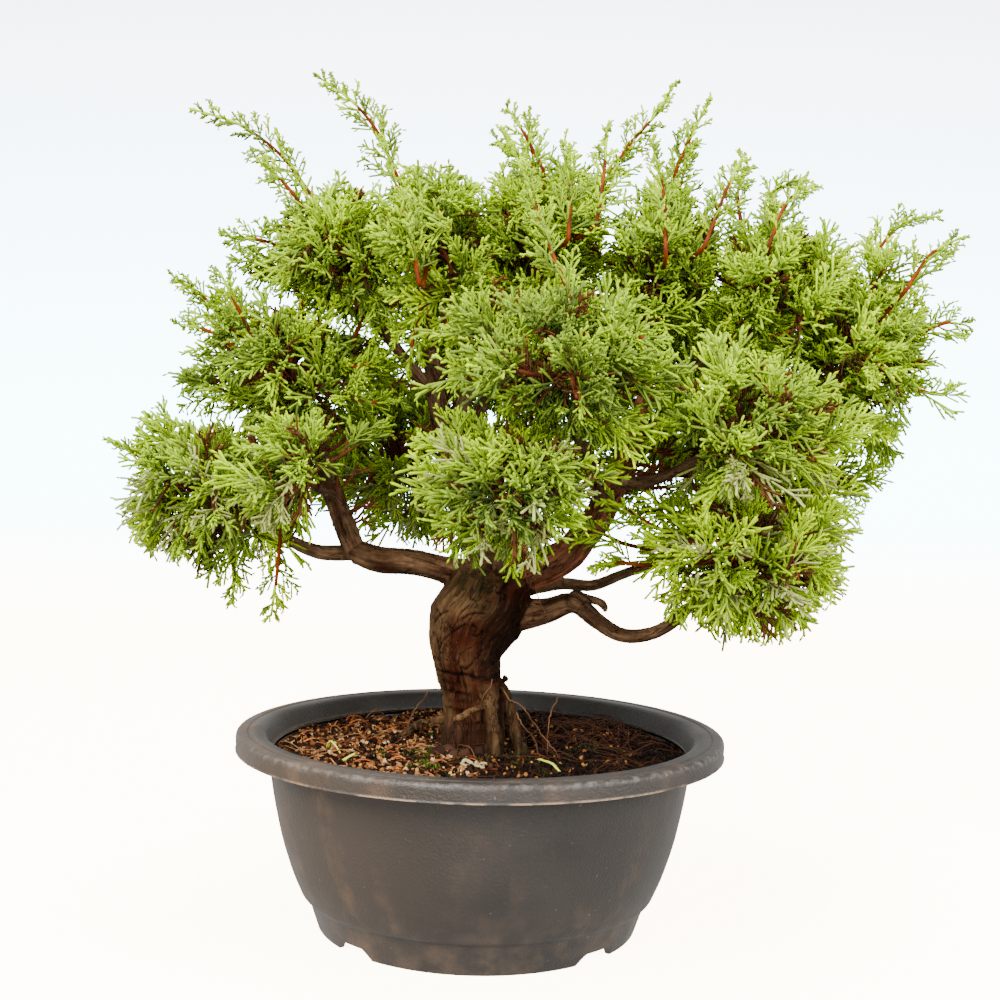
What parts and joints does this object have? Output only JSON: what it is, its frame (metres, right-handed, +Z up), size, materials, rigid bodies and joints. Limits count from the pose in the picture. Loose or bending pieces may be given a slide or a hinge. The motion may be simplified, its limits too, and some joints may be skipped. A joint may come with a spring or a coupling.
{
  "type": "itoigawa chinese juniper bonsai in a training pot",
  "caption": "Small twisted juniper tree trained as a bonsai, with a low forked trunk and a broad crown of scale-leaved foliage, in a round black plastic pot of soil.",
  "frame": {"origin": "middle of the underside of the whole tree's box, on the surface that the pot stands on", "axes": "+Z up, +X to the right and +Y to the back as seen from the tree's front"},
  "size_m": [0.3358, 0.2414, 0.3484],
  "materials": {
    "pot_plastic": "black moulded plastic with a fine grain, dusty",
    "soil": "loose dark bonsai soil with bark chips and dry needles",
    "bark": "reddish brown flaking juniper bark",
    "foliage": "matt yellow-green scale leaves"
  },
  "bodies": {
    "root": {"pot": "pot_plastic", "soil": "soil", "trunk": "bark", "leader_right": "bark", "leader_left": "bark", "bough_left": "bark", "bough_left_rise": "bark", "bough_left_reach": "bark", "bough_left_inner": "bark", "bough_right_low": "bark", "bough_right_mid": "bark", "bough_front": "bark", "bough_front_upper": "bark", "bough_right": "bark", "bough_right_far": "bark", "bough_right_top": "bark", "bough_top_right": "bark", "bough_top_centre": "bark", "bough_top_left": "bark", "bough_left_upper": "bark", "bough_back_left": "bark", "bough_back_centre": "bark", "bough_back_right": "bark", "foliage_left_low": "foliage", "foliage_left_inner": "foliage", "foliage_left_mid": "foliage", "foliage_left_upper": "foliage", "foliage_top_left": "foliage", "foliage_top_centre": "foliage", "foliage_top_right": "foliage", "foliage_right_top": "foliage", "foliage_right_far": "foliage", "foliage_right_mid": "foliage", "foliage_right_low": "foliage", "foliage_front_upper": "foliage", "foliage_front_low": "foliage", "foliage_back_left": "foliage", "foliage_back_centre": "foliage", "foliage_back_right": "foliage", "foliage_right_back": "foliage"}
  },
  "joints": []
}
